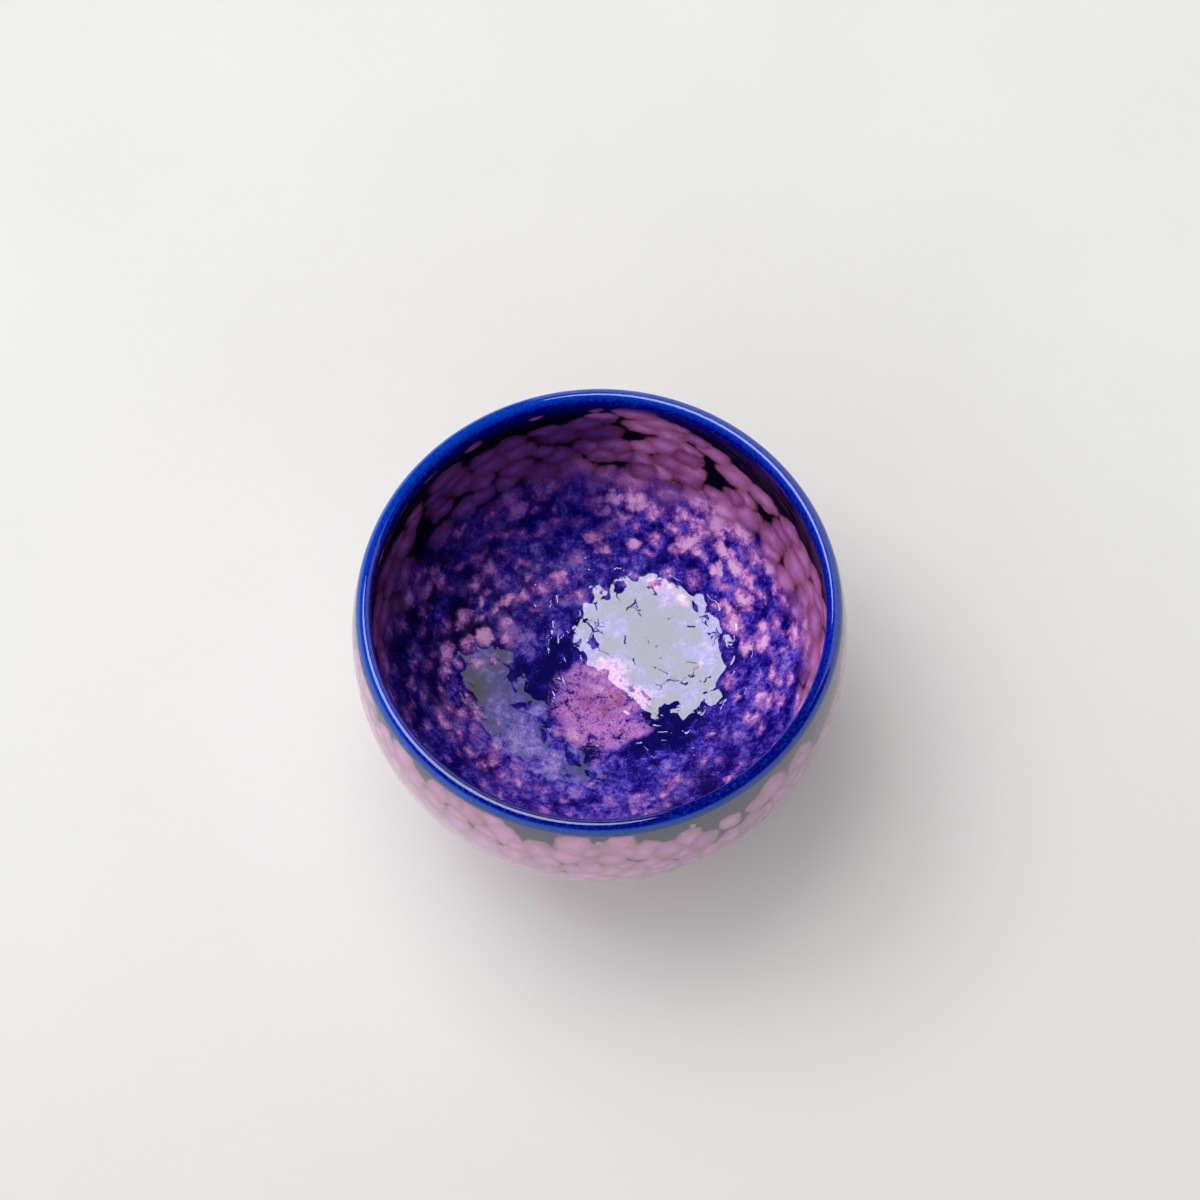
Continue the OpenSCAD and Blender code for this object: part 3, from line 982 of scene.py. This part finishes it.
def studio_world():
    """Pale to the left and dim to the right, pale to the camera, and dark in the glaze's reflections."""
    world = bpy.data.worlds.new("studio")
    world.use_nodes = True
    tree = world.node_tree
    way = tree.nodes.new("ShaderNodeTexCoord").outputs["Generated"]
    side = tree.nodes.new("ShaderNodeVectorMath")
    side.operation = "DOT_PRODUCT"
    side.inputs[1].default_value = FILL_WAY
    level = tree.nodes.new("ShaderNodeMapRange")
    level.interpolation_type = "SMOOTHSTEP"
    level.inputs["From Min"].default_value, level.inputs["From Max"].default_value = FILL_EDGES
    level.inputs["To Min"].default_value = DIM_LEVEL
    level.inputs["To Max"].default_value = FILL_LEVEL
    path = tree.nodes.new("ShaderNodeLightPath")
    mirrored = tree.nodes.new("ShaderNodeMix")
    mirrored.inputs["B"].default_value = MIRRORED_LEVEL
    seen = tree.nodes.new("ShaderNodeMix")
    seen.inputs["B"].default_value = BACKDROP_LEVEL
    back = tree.nodes["Background"]
    back.inputs["Color"].default_value = (1, 1, 1, 1)
    tree.links.new(way, side.inputs[0])
    tree.links.new(side.outputs["Value"], level.inputs["Value"])
    tree.links.new(path.outputs["Is Glossy Ray"], mirrored.inputs["Factor"])
    tree.links.new(level.outputs["Result"], mirrored.inputs["A"])
    tree.links.new(path.outputs["Is Camera Ray"], seen.inputs["Factor"])
    tree.links.new(mirrored.outputs["Result"], seen.inputs["A"])
    tree.links.new(seen.outputs["Result"], back.inputs["Strength"])
    bpy.context.scene.world = world


def studio():
    floor()
    studio_world()
    middle = (0, 0, FLOOR_Z)
    key = area_lamp("key_softbox", KEY_SIZE, KEY_RADIANCE)
    aim(key, Vector(KEY_WAY).normalized() * LAMP_DISTANCE, middle)
    key.visible_glossy = False
    gleam = area_lamp("key_gleam", GLEAM_SIZE, GLEAM_RADIANCE, "ELLIPSE")
    aim(gleam, Vector(GLEAM_WAY).normalized() * LAMP_DISTANCE, middle, GLEAM_TURN)
    gleam.visible_diffuse = False
    wall_card("back_card", span=(0.4, 2.8), top=1.85)
    wall_card("side_card", span=(-0.45, 0.4), top=1.6)
    bpy.context.scene.view_settings.view_transform = "Standard"


CAMERA_ELEVATION = 66.3
CAMERA_DISTANCE = 750 * MM
CAMERA_ROLL = -0.9
LENS = 175.6
SENSOR = 36
CLIP_START = 0.01
AIM_ABOVE_LIP = 1.0 * MM
AIM_SIDE = 0.13 * MM


def camera():
    data = bpy.data.cameras.new("camera")
    data.lens = LENS
    data.sensor_width = SENSOR
    data.clip_start = CLIP_START
    eye = bpy.data.objects.new("camera", data)
    bpy.context.scene.collection.objects.link(eye)
    e = math.radians(CAMERA_ELEVATION)
    toward = Vector((0, -math.cos(e), math.sin(e)))
    up = Vector((0, math.sin(e), math.cos(e)))
    target = Vector((AIM_SIDE, 0, LIP_Z)) + up * AIM_ABOVE_LIP
    aim(eye, target + toward * CAMERA_DISTANCE, target, CAMERA_ROLL)
    bpy.context.scene.camera = eye


for coat in (inside_coat(), outside_coat(), well_lining()):
    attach(coat, "root")
lip = lip_band()
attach(lip, "root")
dress_clay()
studio()
camera()
